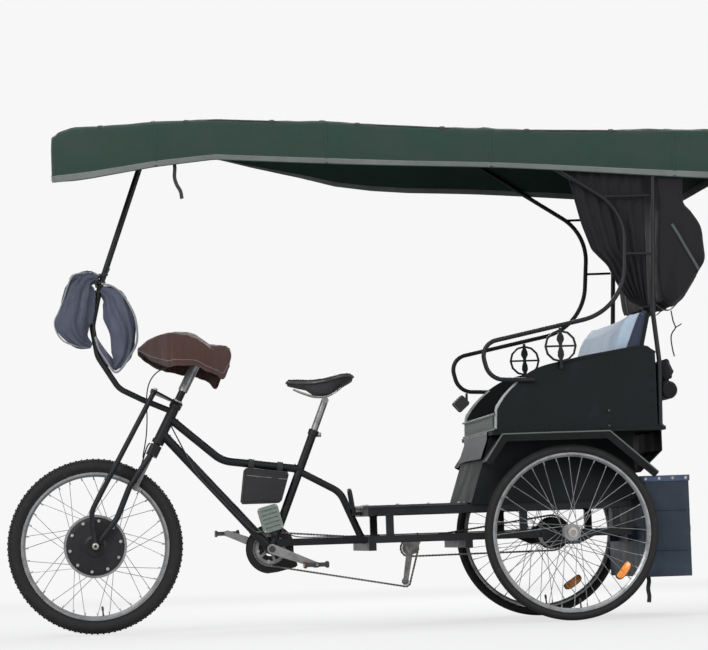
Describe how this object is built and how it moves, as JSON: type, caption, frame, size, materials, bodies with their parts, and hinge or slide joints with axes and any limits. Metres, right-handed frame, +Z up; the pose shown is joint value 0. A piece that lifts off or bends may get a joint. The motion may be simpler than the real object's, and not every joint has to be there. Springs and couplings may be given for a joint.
{
  "type": "cycle rickshaw",
  "caption": "Pedal rickshaw with a spoked front hub-motor wheel, truss fork, ladder chassis, rear passenger seat between spoked wheels and a long cloth canopy.",
  "frame": {"origin": "on the ground, under the middle of the overall length and width", "axes": "+X points to the rear of the vehicle, +Y to its right, +Z up; it travels towards -X"},
  "size_m": [2.736, 0.9746, 1.9638],
  "materials": {
    "tyre": "matt black rubber",
    "rim": "brushed",
    "black_metal": "satin black enamel",
    "motor": "semi gloss black",
    "steel": "oiled steel",
    "alloy": "dull alloy",
    "grip": "matt",
    "saddle": "worn black",
    "bag": "black woven",
    "controller": "grey green",
    "body": "dark paint",
    "floor": "worn dark plate",
    "cushion": "dark green",
    "backrest": "pale blue with a navy edge",
    "skirt": "grey cloth",
    "canopy": "dark green with a grey piping",
    "rain": "blue grey coated cloth",
    "curtain": "near black",
    "cover": "dark brown cloth",
    "box": "dark blue grey",
    "lamp": "dark lens and housing"
  },
  "bodies": {
    "chassis": {"back_panel": "body", "back_roll": "curtain", "backrest": "backrest", "battery_bag": "bag", "canopy": "canopy", "canopy_frame": "black_metal", "centre_beam": "black_metal", "chains": "steel", "chassis_rails": "black_metal", "controller": "controller", "floor_hoop": "black_metal", "floor_plate": "floor", "front_frame": "black_metal", "front_pole": "black_metal", "jack_shaft": "steel", "medallions": "black_metal", "mudguard_left": "black_metal", "mudguard_right": "black_metal", "rain_cover": "rain", "rear_axle": "black_metal", "rear_box": "box", "rear_box_cover": "box", "rear_curtain": "curtain", "rear_panel": "body", "rear_posts": "black_metal", "saddle": "saddle", "seat_box": "body", "seat_cushion": "cushion", "seat_post": "alloy", "seat_skirt": "skirt", "side_lamp": "lamp", "side_panel_left": "body", "side_panel_right": "body", "side_tube_left": "black_metal", "side_tube_right": "black_metal"},
    "steering": {"fork": "black_metal", "fork_struts": "black_metal", "handlebar": "black_metal", "grips": "grip", "brake_levers": "alloy", "front_brake": "alloy", "handlebar_cover": "cover"},
    "front_wheel": {"front_tyre": "tyre", "front_rim": "rim", "hub_motor": "motor"},
    "rear_wheel_left": {"rear_tyre_left": "tyre", "rear_rim_left": "rim", "half_shaft_left": "steel"},
    "rear_wheel_right": {"rear_tyre_right": "tyre", "rear_rim_right": "rim", "half_shaft_right": "steel"},
    "crank": {"crank_set": "alloy"},
    "left_pedal": {"pedal_left": "black_metal"},
    "right_pedal": {"pedal_right": "black_metal"}
  },
  "joints": [
    {"name": "steering_turn", "type": "hinge", "parent": "chassis", "child": "steering", "pos_m": [-0.7454, 0, 0.79559], "axis": [0.4617, 0, 0.887], "range_deg": [-25, 25]},
    {"name": "front_wheel_spin", "type": "hinge", "parent": "steering", "child": "front_wheel", "pos_m": [-1.032, 0, 0.336], "axis": [0, 1, 0], "continuous": true},
    {"name": "rear_left_spin", "type": "hinge", "parent": "chassis", "child": "rear_wheel_left", "pos_m": [0.741, -0.44, 0.328], "axis": [0, 1, 0], "continuous": true},
    {"name": "rear_right_spin", "type": "hinge", "parent": "chassis", "child": "rear_wheel_right", "pos_m": [0.741, 0.44, 0.328], "axis": [0, 1, 0], "continuous": true},
    {"name": "crank_spin", "type": "hinge", "parent": "chassis", "child": "crank", "pos_m": [-0.359, 0, 0.303], "axis": [0, 1, 0], "continuous": true},
    {"name": "left_pedal_spin", "type": "hinge", "parent": "crank", "child": "left_pedal", "pos_m": [-0.19663, -0.125, 0.23773], "axis": [0, 1, 0], "continuous": true},
    {"name": "right_pedal_spin", "type": "hinge", "parent": "crank", "child": "right_pedal", "pos_m": [-0.52137, 0.125, 0.36827], "axis": [0, 1, 0], "continuous": true}
  ]
}
